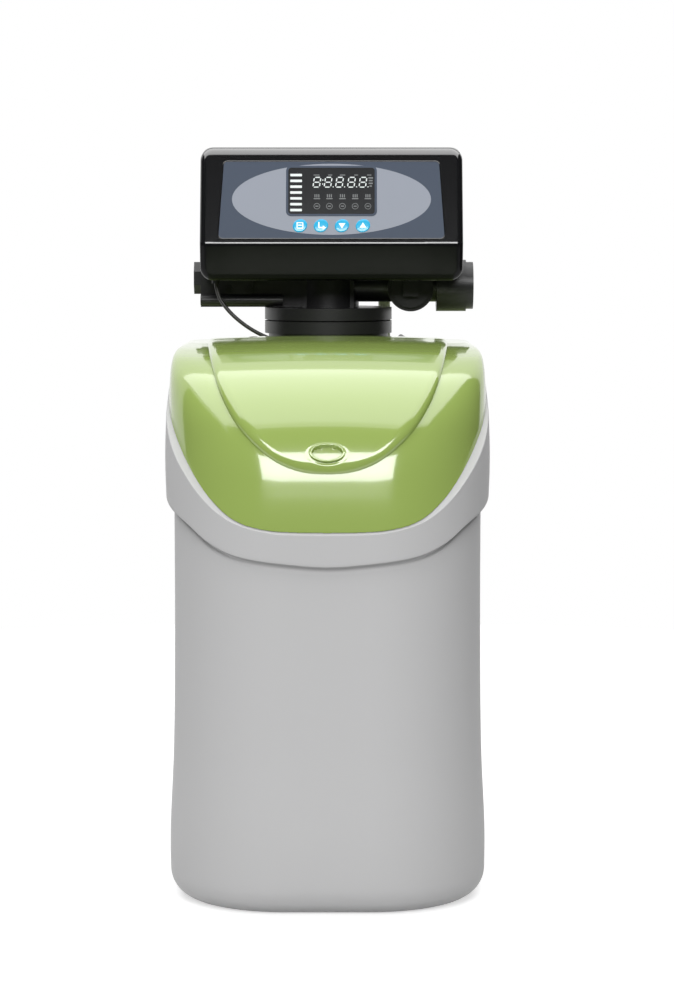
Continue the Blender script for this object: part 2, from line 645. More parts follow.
HOOD_RISE = HOOD_TOP - HOOD_SKIRT
hood_path = through([(z * HOOD_RISE, s * HOOD_SETBACK, i * HOOD_SHOULDER) for z, s, i, r in hood_shares], 2400)
hood_path[:, 0] = np.maximum.accumulate(hood_path[:, 0])
corner_path = through([(z * HOOD_RISE, r * CORNER) for z, s, i, r in hood_shares], 800)
hood_corner = np.interp(hood_path[:, 0], corner_path[:, 0], corner_path[:, 1])


def inside_hood(points, grow):
    """Whether points lie inside the hood's form, grown all round and upward."""
    z = points[..., 2]
    path_z = hood_path[:, 0] * (HOOD_RISE + grow) / HOOD_RISE + HOOD_SKIRT
    setback, inset = np.interp(z, path_z, hood_path[:, 1]), np.interp(z, path_z, hood_path[:, 2])
    radius = np.interp(z, path_z, hood_corner)
    qx = np.abs(points[..., 0]) - (HALF_WIDTH + HOOD_GROW + grow - inset - radius)
    half_depth = HALF_DEPTH + HOOD_GROW + grow - (setback + inset) / 2
    qy = np.abs(points[..., 1] - (setback - inset) / 2) - (half_depth - radius)
    beyond = np.hypot(np.maximum(qx, 0), np.maximum(qy, 0)) + np.minimum(np.maximum(qx, qy), 0) - radius
    return (beyond < 0) & (z < HOOD_TOP + grow)


lid_origin = np.array([0.0, -100.0, 360.0])
lid_up = np.array([0.0, math.cos(LID_LEAN), math.sin(LID_LEAN)])
lid_out = np.array([0.0, -math.sin(LID_LEAN), math.cos(LID_LEAN)])


def to_lid_plane(points):
    return points[..., 0], (points - lid_origin) @ lid_up


SEARCH_LOW, SEARCH_HIGH, SEARCH_PASSES = -70.0, 120.0, 34


def lid_surface(px, py, grow):
    """Where the line that leaves the leaning lid plane at (px, py) comes out of the hood's form."""
    base = lid_origin + px[..., None] * ACROSS + py[..., None] * lid_up
    low = np.full(px.shape, SEARCH_LOW)
    high = np.full(px.shape, SEARCH_HIGH)
    for _ in range(SEARCH_PASSES):
        middle = (low + high) / 2
        within = inside_hood(base + middle[..., None] * lid_out, grow)
        low = np.where(within, middle, low)
        high = np.where(within, high, middle)
    return base, low


def lid_outline_curve(inset, count):
    """The U on the lid plane, from its rear right end round its tip to its rear left end."""
    rear = lid_edge_shares[0][1] * LID_LENGTH
    length = LID_LENGTH - inset
    right = [(x * (LID_HALF - inset), rear + (y - lid_edge_shares[0][1]) * length) for x, y in lid_edge_shares]
    left = [(-x, y) for x, y in reversed(right[:-1])]
    return through(right + left, count)


OPENING_POINTS, SLOT_SIDE = 1600, 0.6
half_opening = lid_outline_curve(LID_LEDGE, OPENING_POINTS)[:OPENING_POINTS // 2]
order = np.argsort(half_opening[:, 1])
opening_py, opening_px = half_opening[order, 1], half_opening[order, 0]


def opening_margin(points):
    """How far inside the lid's opening, or the slot behind the lid, points are across; below 0 outside both."""
    px, py = to_lid_plane(points)
    half = np.interp(py, opening_py, opening_px, left=-1.0)
    half = np.where(points[..., 1] > OPENING_REAR - SLOT_DEPTH, np.maximum(half, LID_HALF + SLOT_SIDE), half)
    return np.where(points[..., 1] < OPENING_REAR, half - np.abs(px), -1.0)


STOP_GAP, INWARD_STEPS, CLIMB_ROWS, LEVEL_ROWS = 0.04, 1400, 52, 16


def hood_rows(grow):
    """For each place round the oblong, a path that climbs the hood's form from the belt's line to its top and then
    runs in level, cut where it meets the lid opening, the sunk deck or the rear's open end."""
    flat_corner = hood_path[-1, 1] - HALF_DEPTH - HOOD_GROW + CORNER
    special = [math.degrees(math.atan((flat_corner - y) / CORNER)) for y in (DECK_FRONT, OPENING_REAR)]
    stops = np.concatenate([[angle - STOP_GAP, angle + STOP_GAP] for angle in special])
    even = np.linspace(0.0, 90.0, 80, endpoint=False)
    left = np.sort(np.concatenate([even, stops]))
    right = np.sort(np.concatenate([even, 90.0 - stops]))
    shape = outline_frame({90: even, 180: left, 270: right, 0: even}, straight=40, side=70)
    kx, ky, nx, ny = (part[None, :] for part in shape)
    path_z, setback, inset = hood_path[::2].T
    half_width = (HALF_WIDTH + HOOD_GROW + grow - inset)[:, None]
    half_depth = (HALF_DEPTH + HOOD_GROW + grow - (setback + inset) / 2)[:, None]
    middle = ((setback - inset) / 2)[:, None]
    radius = hood_corner[::2, None]
    out, both = CORNER - radius, np.abs(nx) + np.abs(ny)
    arc = out * both + np.sqrt(np.maximum(radius**2 - 2 * out**2 + (out * both) ** 2, 0.0))
    on_arc = (arc * np.abs(nx) >= out) & (arc * np.abs(ny) >= out)
    reach = np.where(on_arc, arc, CORNER / np.maximum(np.abs(nx), np.abs(ny)))
    x = kx * (half_width - CORNER) + reach * nx
    y = middle + ky * (half_depth - CORNER) + reach * ny
    z = HOOD_SKIRT + path_z[:, None] * (HOOD_RISE + grow) / HOOD_RISE
    climb = np.stack([x, y, z * np.ones_like(x)], axis=-1)
    inward = np.linspace(1.0, 0.0, INWARD_STEPS)[1:, None, None]
    level = climb[-1:] * (1.0 - ACROSS) + climb[-1:] * ACROSS * inward
    path = np.concatenate([climb, level])
    stop = opening_margin(path) > 0
    stop |= (path[..., 1] > DECK_FRONT) & (path[..., 2] > DECK_Z)
    stop[-1] = True
    rise = front_rise(belt_top_rise, path[..., 0], path[..., 1])
    belt_top = np.interp(path[..., 1], belt_top_y, belt_top_z) + rise
    first = np.argmax(path[..., 2] >= belt_top + SLACK, axis=0)
    last = np.maximum(np.argmax(stop, axis=0), first + 1)
    turn = np.minimum(last, len(climb) - 1)
    steps = np.linalg.norm(np.diff(path, axis=0), axis=-1)
    distance = np.concatenate([np.zeros((1, path.shape[1])), np.cumsum(steps, axis=0)])
    climb_shares, level_shares = np.linspace(0.0, 1.0, CLIMB_ROWS), np.linspace(0.0, 1.0, LEVEL_ROWS)[1:]
    grid = np.empty((len(climb_shares) + len(level_shares), path.shape[1], 3))
    for column in range(path.shape[1]):
        along = distance[:, column]
        start, bend, end = along[first[column]], along[turn[column]], along[last[column]]
        want = np.concatenate([start + climb_shares * (bend - start), bend + level_shares * (end - bend)])
        for axis in range(3):
            grid[:, column, axis] = np.interp(want, along, path[:, column, axis])
    return grid


def build_hood():
    """The outer form, and the same form drawn in by the wall, joined along the foot and along every opening."""
    outer, inner = hood_rows(0.0), hood_rows(SLACK - WALL)
    rows = np.concatenate([outer, inner[::-1], outer[:1]])
    grid_piece("hood_shell", rows, hood_green, "cabinet", "hood_green", closed=True, replaced=("top_hood",),
               angle=SHELL_ANGLE)


build_hood()

DECK_SEARCH, DECK_STEPS, DECK_ANGLES = (60.0, 170.0), 1200, 240
DECK_PLATE, DECK_GAP, STEP_WALL = 2.0, 0.1, 1.6


def build_deck():
    """Rings from the neck's hole out to the hood's wall or the step at the deck's front, up the step, and back
    underneath."""
    corners = [math.atan2(DECK_FRONT - TANK_Y, side * DECK_HALF) % (2 * math.pi) for side in (-1, 1)]
    angles = np.unique(np.concatenate([np.linspace(0.0, 2 * math.pi, DECK_ANGLES, endpoint=False), corners]))
    way = np.stack([np.cos(angles), np.sin(angles)], axis=-1)
    reach = np.linspace(*DECK_SEARCH, DECK_STEPS)
    line = np.stack([reach[:, None] * way[:, 0], TANK_Y + reach[:, None] * way[:, 1],
                     np.full((len(reach), len(angles)), DECK_Z)], axis=-1)
    outside = ~inside_hood(line, SLACK - WALL + DECK_GAP)
    outside[-1] = True
    open_reach = reach[np.argmax(outside, axis=0)]
    forward = np.maximum(-way[:, 1], 1e-3)
    step_reach = np.where(way[:, 1] < -1e-3, (TANK_Y - DECK_FRONT - DECK_GAP) / forward, 1e6)
    edge = np.minimum(open_reach, step_reach)
    walled = step_reach < open_reach
    rise = np.linspace(DECK_Z, HOOD_TOP, 66)[:, None]
    column = np.stack([edge * way[:, 0] + 0 * rise, DECK_FRONT + 0 * edge + 0 * rise, rise + 0 * edge], axis=-1)
    step_top = np.where(inside_hood(column, -DECK_GAP), rise, DECK_Z).max(axis=0)
    wall_top = np.where(walled, step_top, DECK_Z)
    back = np.where(walled, edge + STEP_WALL, edge)
    rows = []

    def ring(radius, z):
        radius = radius * np.ones(len(angles))
        z = z * np.ones(len(angles))
        rows.append(np.stack([radius * way[:, 0], TANK_Y + radius * way[:, 1], z], axis=-1))

    for share in np.linspace(0.0, 1.0, 14):
        ring(NECK_HOLE + share * (edge - NECK_HOLE), DECK_Z)
    ring(edge, wall_top)
    ring(back, np.where(walled, np.maximum(step_top - WALL, DECK_Z), DECK_Z))
    for share in (1.0, 0.5, 0.0):
        ring(NECK_HOLE + share * (back - NECK_HOLE), DECK_Z - DECK_PLATE)
    rows.append(rows[0])
    grid_piece("hood_deck", rows, hood_green, "cabinet", "hood_green", closed=True, angle=SHELL_ANGLE)


build_deck()

# Salt lid with its button

BUTTON_HALF_WIDTH, BUTTON_HALF_HEIGHT, BUTTON_STEM, BUTTON_POINTS = 10.5, 5.5, 2.2, 96
POCKET_HALF_WIDTH, POCKET_HALF_HEIGHT, POCKET_DEPTH, DISH_DEPTH, POCKET_REACH = 10.9, 5.9, 2.4, 0.12, 12.0
POCKET_EDGE, POCKET_FADE, DISH_EDGE, DISH_FADE = 1.1, 0.06, 1.45, 0.16
LID_COLUMNS, COARSE_ROWS, FINE_ROWS, UNDER_ROWS, FINE_FROM = 340, 90, 46, 40, 0.86
CROWN_START, CROWN_LENGTH, ROLL_POWER, LID_OVERLAP = -12.0, 60.0, 2.4, 0.05
button_lean = math.radians(65.0)
button_centre = np.array([0.0, -197.4, 326.4])
button_up = np.array([0.0, math.cos(button_lean), math.sin(button_lean)])
button_out = np.array([0.0, -math.sin(button_lean), math.cos(button_lean)])


def lid_crown(px, py):
    """A low arch across the lid, 1 less the square of the share across, that fades in above the button."""
    spine_low = (button_centre - lid_origin) @ lid_up
    fade = smoothstep((py - spine_low - CROWN_START) / CROWN_LENGTH)
    return LID_CROWN * (1 - (px / LID_HALF) ** 2) * fade


def build_lid():
    """Points on lines from a spine to the U outline, lifted to the hood's form plus the lid's thickness and a crown
    across it. Near the outline the surface rolls down a quarter round, and the button's pocket is pressed in."""
    count = LID_COLUMNS
    edge = lid_outline_curve(0.0, count)
    edge[:, 1] = np.minimum(edge[:, 1], LID_REAR_UP)
    spine_low = (button_centre - lid_origin) @ lid_up
    spine = np.stack([np.zeros(count), np.clip(edge[:, 1], spine_low, LID_REAR_UP)], axis=-1)
    span = np.linalg.norm(edge - spine, axis=-1)
    shares = np.concatenate([np.linspace(0.0, FINE_FROM, COARSE_ROWS, endpoint=False),
                             np.linspace(FINE_FROM, 1.0, FINE_ROWS)])
    top = []
    for share in shares:
        place = spine + share * (edge - spine)
        base, out = lid_surface(place[:, 0], place[:, 1], SLACK + LID_THICKNESS)
        crown = lid_crown(place[:, 0], place[:, 1])
        near = np.clip(1 - (1 - share) * span / LID_ROLL, 0.0, 1.0)
        drop = (LID_THICKNESS + LID_OVERLAP) * (1 - np.sqrt(np.maximum(1 - near**ROLL_POWER, 0.0)))
        points = base + (out + crown - drop)[:, None] * lid_out
        offset = points - button_centre
        oval = np.hypot(offset[:, 0] / POCKET_HALF_WIDTH, (offset @ button_up) / POCKET_HALF_HEIGHT)
        pocket = POCKET_DEPTH * smoothstep((POCKET_EDGE - oval) / POCKET_FADE)
        pocket += DISH_DEPTH * smoothstep((DISH_EDGE - oval) / DISH_FADE)
        near_button = np.abs(offset @ button_out) < POCKET_REACH
        top.append(points - pocket[:, None] * button_out * near_button[:, None])
    under = []
    for share in np.linspace(1.0, 0.0, UNDER_ROWS):
        place = spine + share * (edge - spine)
        base, out = lid_surface(place[:, 0], place[:, 1], SLACK)
        under.append(base + (out + LID_OVERLAP)[:, None] * lid_out)
    rows = np.array(top + under)
    faces = quads(rows.shape[0], count).tolist()
    for column in (0, count - 1):
        faces.append([row * count + column for row in range(rows.shape[0])])
    mesh_piece("lid_shell", rows, faces, hood_green, "lid", "hood_green", replaced=("salt_lid",), angle=50.0)


build_lid()


def build_button():
    """Oval rings: a straight stem, a rounded raised rim and a low dome. A thin ring on the lid frames it."""
    pad_profile = [(1.0, -BUTTON_STEM), (1.0, -0.15), (0.985, 0.02), (0.95, 0.1), (0.88, 0.13), (0.76, 0.15),
                   (0.6, 0.16), (0.4, 0.17), (0.2, 0.18), (0.0, 0.18)]
    ring_profile = [(1.015, -1.2), (1.015, -0.02), (1.04, 0.05), (1.1, 0.07), (1.17, 0.03), (1.23, -0.05),
                    (1.25, -0.4)]
    angle = np.linspace(0, 2 * math.pi, BUTTON_POINTS, endpoint=False)

    def oval_at(share):
        return (button_centre + share * BUTTON_HALF_WIDTH * np.cos(angle)[:, None] * ACROSS
                + share * BUTTON_HALF_HEIGHT * np.sin(angle)[:, None] * button_up)

    foot = np.repeat((button_centre - BUTTON_STEM * button_out)[None, :], BUTTON_POINTS, axis=0)
    pad = [foot] + [oval_at(share) + lift * button_out for share, lift in pad_profile]
    ring = []
    for share, lift in ring_profile:
        px, py = to_lid_plane(oval_at(share))
        base, out = lid_surface(px, py, SLACK + LID_THICKNESS)
        ring.append(base + (out + lid_crown(px, py))[:, None] * lid_out + lift * button_out)
    ring.append(ring[0])
    grid_piece("lid_press_ring", ring, hood_green, "lid", "hood_green", closed=True, angle=TRIM_ANGLE)
    grid_piece("lid_press_pad", pad, hood_green, "lid_press", "hood_green", closed=True, replaced=("lid_button",),
               angle=TRIM_ANGLE)


build_button()

ARM_ROUND, ARM_FOOT, ARM_LEDGE, ARM_TOP, ARM_REAR, ARM_FRONT = 2.6, 384.0, 389.0, 395.6, -4.0, -9.0
ARM_WIDTH, ARM_STEP, KNUCKLE_WIDTH, KNUCKLE_TOP, KNUCKLE_REAR = 4.0, 6.3, 8.0, 399.0, 2.0


def build_hinges():
    """Goose-neck arms under the hood and the lid's knuckles between them, each a side profile carried across."""
    back, up = np.array([0.0, 1.0, 0.0]), np.array([0.0, 0.0, 1.0])

    def half_round(start, end):
        return [(HINGE_Y + ARM_ROUND * math.cos(a), HINGE_Z + ARM_ROUND * math.sin(a))
                for a in np.radians(np.linspace(start, end, 15))]

    arm = [(ARM_REAR, ARM_TOP), (ARM_REAR, ARM_FOOT), (HINGE_Y - ARM_ROUND, ARM_FOOT), *half_round(0, 180)[::-1],
           (HINGE_Y + ARM_ROUND, ARM_LEDGE), (ARM_FRONT, ARM_LEDGE), (ARM_FRONT, ARM_TOP)]
    knuckle = [(HINGE_Y - ARM_ROUND, KNUCKLE_TOP), *half_round(180, 360), (HINGE_Y + KNUCKLE_REAR, KNUCKLE_TOP)]
    arm_places = [side * HINGE_SPREAD + step * ARM_STEP - ARM_WIDTH / 2 for side in (-1, 1) for step in (-1, 1)]
    knuckle_places = [side * HINGE_SPREAD - KNUCKLE_WIDTH / 2 for side in (-1, 1)]
    arms = joined([prism(arm, ARM_WIDTH, (x, 0, 0), back, up, ACROSS) for x in arm_places])
    knuckles = joined([prism(knuckle, KNUCKLE_WIDTH, (x, 0, 0), back, up, ACROSS) for x in knuckle_places])
    mesh_piece("hood_hinge_arms", *arms, hood_green, "cabinet", "hood_green")
    mesh_piece("lid_knuckles", *knuckles, hood_green, "lid", "hood_green")


build_hinges()

# Control head: front cover

HEAD_X = 2.6
HEAD_HALF_WIDTH = 101.1
HEAD_LOW, HEAD_TOP, HEAD_SPLIT = 444.0, 546.5, 60.0
HEAD_CORNER, HEAD_ROUND, HEAD_WALL, SPLIT_EDGE = 10.0, 5.0, 1.1, 0.5
CHIN_HEIGHT, CHIN_SET, BROW_DROP, BROW_SET = 28.0, 8.0, 5.5, 4.0
PROFILE_MARGIN, PROFILE_STEPS, PROFILE_BLUR = 10.0, 1401, 31
PANEL_LOW_Z, PANEL_HIGH_Z, PANEL_LOW_Y, PANEL_HIGH_Y = 476.7, 535.2, 24.6, 44.4
panel_slope = (PANEL_HIGH_Y - PANEL_LOW_Y) / (PANEL_HIGH_Z - PANEL_LOW_Z)


def face_y(z):
    """Where the leaning panel's plane is at a height."""
    return PANEL_LOW_Y + (z - PANEL_LOW_Z) * panel_slope


def build_front_cover():
    """Oblong rings from the split line forward, over a rounded edge and in across the face, whose depth follows the
    head's side profile: a chin that leans back, the leaning panel face and a brow."""
    chin_z, brow_z = HEAD_LOW + CHIN_HEIGHT, HEAD_TOP - BROW_DROP
    fine_z = np.linspace(HEAD_LOW - PROFILE_MARGIN, HEAD_TOP + PROFILE_MARGIN, PROFILE_STEPS)
    profile = np.interp(fine_z, [HEAD_LOW, chin_z, brow_z, HEAD_TOP],
                        [face_y(chin_z) + CHIN_SET, face_y(chin_z), face_y(brow_z), face_y(brow_z) + BROW_SET])
    kernel = np.hanning(PROFILE_BLUR + 2)[1:-1]
    padded = np.pad(profile, PROFILE_BLUR // 2, mode="edge")
    profile = np.convolve(padded, kernel / kernel.sum(), mode="valid")
    shape = outline_frame(plain_corners(16), straight=60, side=70)
    middle_z = (HEAD_LOW + HEAD_TOP) / 2
    half_height = (HEAD_TOP - HEAD_LOW) / 2

    def ring(inset, blend_back, y=None):
        radius = max(HEAD_CORNER - inset, 0.01)
        kx, ky, nx, ny = shape
        x = HEAD_X + kx * (HEAD_HALF_WIDTH - inset - radius) + radius * nx
        z = middle_z + ky * (half_height - inset - radius) + radius * ny
        if y is None:
            y = np.interp(z, fine_z, profile) + blend_back
        return np.stack([x, y * np.ones_like(x), z], axis=-1)

    rows = [ring(0.0, 0.0, HEAD_SPLIT), ring(0.0, 0.0, HEAD_SPLIT - SPLIT_EDGE)]
    first = ring(0.0, HEAD_ROUND)
    for share in np.linspace(0.0, 1.0, 8)[1:]:
        row = first.copy()
        row[:, 1] = (HEAD_SPLIT - SPLIT_EDGE) * (1 - share) + first[:, 1] * share
        rows.append(row)
    for angle in np.radians(np.linspace(0.0, 90.0, 12)[1:]):
        rows.append(ring(HEAD_ROUND * (1 - math.cos(angle)), HEAD_ROUND * (1 - math.sin(angle))))
    for inset in np.linspace(HEAD_ROUND, half_height - 0.02, 44)[1:]:
        rows.append(ring(inset, 0.0))
    cover = grid_piece("head_front_shell", rows, cover_black, "cabinet", "cover_black", closed=True,
                       replaced=("front_cover",), angle=50.0)
    thicken(cover, HEAD_WALL)


build_front_cover()

# Display panel: flat pieces on the leaning face
panel_lean = math.atan2(PANEL_HIGH_Y - PANEL_LOW_Y, PANEL_HIGH_Z - PANEL_LOW_Z)
panel_origin = np.array([HEAD_X, (PANEL_LOW_Y + PANEL_HIGH_Y) / 2, (PANEL_LOW_Z + PANEL_HIGH_Z) / 2])
panel_up = np.array([0.0, math.sin(panel_lean), math.cos(panel_lean)])
panel_out = np.array([0.0, -math.cos(panel_lean), math.sin(panel_lean)])
PANEL_HALF_HEIGHT = math.hypot(PANEL_HIGH_Y - PANEL_LOW_Y, PANEL_HIGH_Z - PANEL_LOW_Z) / 2


def oblong(width, height, radius, u=0.0, v=0.0, steps=6, top_width=None):
    """A rounded oblong or trapezoid as an outline of points."""
    top_width = width if top_width is None else top_width
    points = []
    for sx, sy, start in ((1, 1, 0), (-1, 1, 90), (-1, -1, 180), (1, -1, 270)):
        half = (top_width if sy > 0 else width) / 2
        for angle in np.radians(np.linspace(start, start + 90, steps)):
            x = sx * (half - radius) + radius * math.cos(angle)
            y = sy * (height / 2 - radius) + radius * math.sin(angle)
            points.append((u + x, v + y))
    return points


def bar(width, height, u, v):
    return oblong(width, height, 0.2, u, v, steps=2)


def oval(width, height, u=0.0, v=0.0, steps=72):
    angle = np.linspace(0, 2 * math.pi, steps, endpoint=False)
    return np.stack([u + width / 2 * np.cos(angle), v + height / 2 * np.sin(angle)], axis=-1)


def panel_plates(name, outlines, low, high, material, slot, body="cabinet", replaced=()):
    """Flat outlines on the panel's plane, each carried from low to high along the way out."""
    parts = [prism(outline, high - low, panel_origin + low * panel_out, ACROSS, panel_up, panel_out)
             for outline in outlines]
    points, faces = joined(parts)
    return mesh_piece(name, points, faces, material, body, slot, replaced=replaced, angle=30.0)


BAND_ROUND = 0.15


def panel_band(name, outer, inner, low, high, material, slot):
    """A flat band between two outlines of the same count, rounded a little over its top."""
    outer, inner = np.asarray(outer, float), np.asarray(inner, float)
    rows = []
    side = high - BAND_ROUND
    for share, lift in ((0.0, low), (0.0, side), (0.25, high), (0.75, high), (1.0, side), (1.0, low)):
        line = outer + share * (inner - outer)
        rows.append(panel_origin + line[:, :1] * ACROSS + line[:, 1:] * panel_up + lift * panel_out)
    return grid_piece(name, rows, material, "cabinet", slot, closed=True, angle=TRIM_ANGLE)


FILM_LOW_WIDTH, FILM_TOP_WIDTH, FILM_CORNER, FILM_RIM = 173.0, 166.0, 3.0, 1.7
OVAL_WIDTH, OVAL_HEIGHT, OVAL_V = 153.0, 57.5, 0.4
WINDOW_WIDTH, WINDOW_HEIGHT, WINDOW_CORNER, WINDOW_V = 68.0, 39.0, 3.0, 7.1
FRAME_OUT, FRAME_IN = 1.8, -1.6


def build_panel():
    height = 2 * PANEL_HALF_HEIGHT
    film = oblong(FILM_LOW_WIDTH, height, FILM_CORNER, top_width=FILM_TOP_WIDTH)
    panel_plates("panel_film", [film], -0.3, 0.12, panel_slate, "panel_slate", replaced=("display_panel",))
    rim = oblong(FILM_LOW_WIDTH + FILM_RIM, height + FILM_RIM, 3.8, top_width=FILM_TOP_WIDTH + FILM_RIM)
    panel_band("panel_rim", rim, film, -0.2, 0.3, cover_black, "cover_black")
    panel_plates("panel_oval", [oval(OVAL_WIDTH, OVAL_HEIGHT, 0.0, OVAL_V)], 0.1, 0.2, panel_pale, "panel_slate")

    def window(more, radius):
        return oblong(WINDOW_WIDTH + more, WINDOW_HEIGHT + more, radius, 0.0, WINDOW_V)

    panel_band("window_frame", window(FRAME_OUT, 3.8), window(FRAME_IN, 2.4), 0.1, 0.5, panel_slate, "panel_slate")
    panel_plates("window_pane", [window(0.0, WINDOW_CORNER)], -0.4, 0.36, window_smoke, "window_smoke",
                 replaced=("display_window",))


build_panel()

# A figure's seven bars: the middle as shares of half the figure, and whether it lies level
FIGURE_BARS = (
    (0.0, 1.0, True), (1.0, 0.5, False), (1.0, -0.5, False), (0.0, -1.0, True), (-1.0, -0.5, False),
    (-1.0, 0.5, False), (0.0, 0.0, True),
)
FIGURE_SLANT, FIGURE_WIDTH, FIGURE_HEIGHT, FIGURE_STROKE = 0.14, 5.0, 7.9, 0.85
FIGURE_V, FIGURE_PLACES = 14.1, (-11.2, -2.6, 6.2, 15.4, 24.2)
LEVEL_U, LEVEL_TOP, LEVEL_PITCH, LEVEL_BARS = -27.2, 19.9, 4.72, 7
SIGN_PLACES, RING_V = (-11.2, -1.6, 8.4, 18.2, 28.0), -5.3


def seven_bars(u, v, width, height, stroke):
    """One slanted figure of seven bars with cut ends."""
    cut = stroke / 2
    outlines = []
    for x, y, level in FIGURE_BARS:
        half = (width / 2 if level else height / 4) - stroke * 0.62
        shape = [(-half, 0.0), (-half + cut, cut), (half - cut, cut), (half, 0.0), (half - cut, -cut),
                 (-half + cut, -cut)]
        if not level:
            shape = [(b, a) for a, b in shape]
        cx, cy = x * width / 2, y * height / 2
        outlines.append([(u + cx + a + FIGURE_SLANT * (cy + b), v + cy + b) for a, b in shape])
    return outlines


def build_display():
    """Level bars, five figures, dots and two rows of small plain signs, in the places they have on the window."""
    bright = [oblong(9.0, 2.0, 0.3, LEVEL_U, LEVEL_TOP - row * LEVEL_PITCH, steps=2) for row in range(LEVEL_BARS)]
    for number, u in enumerate(FIGURE_PLACES):
        bright += seven_bars(u, FIGURE_V, FIGURE_WIDTH, FIGURE_HEIGHT, FIGURE_STROKE)
        if number:
            bright.append(oval(0.9, 0.9, u + 3.9, 10.3, steps=10))
    bright += [oval(1.0, 1.0, -6.7, v, steps=10) for v in (12.6, 15.8)]
    dim = [bar(width, 1.1, 30.2, v) for v, width in ((17.6, 3.6), (15.4, 2.8), (13.2, 3.2), (11.0, 1.8))]
    dim += [bar(width, 0.7, u, LEVEL_TOP)
            for u, width in ((-11.5, 4.6), (-1.0, 3.2), (8.5, 4.2), (19.0, 3.0), (29.0, 3.4))]
    for u in SIGN_PLACES:
        dim += [bar(0.75, 2.6, u + step, 3.1) for step in (-1.5, 0.0, 1.5)]
        dim.append(bar(5.0, 0.8, u, 0.8))
    dim += [bar(2.4, 0.8, u, RING_V) for u in SIGN_PLACES]
    panel_plates("display_figures", bright, 0.3, 0.42, led_white, "window_smoke")
    panel_plates("display_signs", dim, 0.3, 0.41, led_dim, "window_smoke")
    for number, u in enumerate(SIGN_PLACES):
        outer, inner = (oval(width, width, u, RING_V, steps=28) for width in (5.2, 3.9))
        panel_band(f"display_ring_{number + 1}", outer, inner, 0.3, 0.41, led_dim, "window_smoke")


build_display()

KEY_PITCH, KEY_V, KEY_TILT, KEY_POINTS = 16.1, -21.0, 35.0, 64
KEY_HALF_WIDTH, KEY_HALF_HEIGHT = 5.75, 5.15
key_profile = [(0.0, -1.6), (1.0, -1.6), (1.0, 0.15), (0.98, 0.45), (0.93, 0.62), (0.85, 0.72), (0.6, 0.82),
               (0.3, 0.87), (0.0, 0.88)]


def key_signs(u, v):
    """The plain signs, round each key's middle: a frame with a middle bar, a bent arrow, and two arrowheads."""
    frame_bars = [bar(5.2, 0.8, u, v + 2.2), bar(0.8, 5.0, u - 2.2, v), bar(0.8, 5.0, u + 2.2, v),
                  bar(3.0, 0.8, u, v + 0.2), bar(5.2, 0.8, u, v - 2.2)]
    bent_arrow = [bar(1.0, 4.6, u - 1.6, v + 0.4), bar(4.4, 1.0, u + 0.3, v - 1.7),
                  [(u + 1.4, v - 3.4), (u + 3.8, v - 1.7), (u + 1.4, v)]]
    arrow_down = [[(u - 2.6, v + 1.8), (u + 2.6, v + 1.8), (u, v - 2.4)]]
    arrow_up = [[(u - 2.6, v - 1.8), (u + 2.6, v - 1.8), (u, v + 2.4)]]
    return {"menu": frame_bars, "manual": bent_arrow, "down": arrow_down, "up": arrow_up}


def build_keys():
    """Each key is a tilted oval with a rounded rim and a low dome, and a plain sign on it."""
    c, s = math.cos(math.radians(KEY_TILT)), math.sin(math.radians(KEY_TILT))
    angle = np.linspace(0, 2 * math.pi, KEY_POINTS, endpoint=False)
    for number, name in enumerate(("menu", "manual", "down", "up")):
        u, v = (number - 1.5) * KEY_PITCH, KEY_V
        rows = []
        for share, lift in key_profile:
            x, y = share * KEY_HALF_WIDTH * np.cos(angle), share * KEY_HALF_HEIGHT * np.sin(angle)
            spot = np.stack([u + c * x - s * y, v + s * x + c * y], axis=-1)
            rows.append(panel_origin + spot[:, :1] * ACROSS + spot[:, 1:] * panel_up + lift * panel_out)
        grid_piece(f"{name}_key_cap", rows, key_blue, f"{name}_key", "key_blue", closed=True,
                   replaced=(f"key_{name}",), angle=TRIM_ANGLE)
        panel_plates(f"{name}_key_sign", key_signs(u, v)[name], 0.6, 0.95, icon_white, "key_blue",
                     body=f"{name}_key")


build_keys()


# CAD nodes with curved faces: a copy with its doubles merged, smooth where its faces turn gently

COPY_MERGE, COPY_ANGLE = 2e-6, 32.0


def smooth_copy(label):
    name = f"{label}_smooth"
    mesh = nodes[label].data.copy()
    mesh.name = name
    work = bmesh.new()
    work.from_mesh(mesh)
    bmesh.ops.remove_doubles(work, verts=work.verts, dist=COPY_MERGE)
    work.to_mesh(mesh)
    work.free()
    if "custom_normal" in mesh.attributes:
        mesh.attributes.remove(mesh.attributes["custom_normal"])
    mesh.shade_smooth()
    mesh.set_sharp_from_angle(angle=math.radians(COPY_ANGLE))
    finish_piece(add_object(name, mesh), body_of[label], (label,))


for label in ("valve_body", "inlet_nut", "outlet_coupling", "back_cover", "neck_ring", "resin_tank", "tank_foot",
              "brine_elbow", "drain_spigot", "brine_well", "overflow_elbow", "overflow_nut", "meter_cover",
              "injector_cover", "cable_gland", "well_cap", "brine_tube", "brine_float"):
    smooth_copy(label)


# Studio: a pale floor that keeps the shadow, a white surround and soft lamps, sizes in metres

AMBIENT = 0.22
FLOOR_REACH, FLOOR_SIDES, FLOOR_LIFT = 1.4, 96, 0.62
SURROUND_COLOUR = (1.0, 1.0, 1.0, 1.0)
FLOOR_COLOUR, CLOTH_COLOUR = (0.66, 0.66, 0.66, 1.0), (0.03, 0.03, 0.03, 1.0)
CLOTH_BACK, CLOTH_HALF, CLOTH_TOP, CLOTH_LIFT, CLOTH_NEAR = -2.8, 3.0, 5.0, 0.001, -0.62
LEFT_X, LEFT_END, LEFT_TOP = -1.7, 0.5, 2.0
RIGHT_X, RIGHT_BACK, RIGHT_END, RIGHT_TOP = 0.9, -2.2, 0.6, 1.5


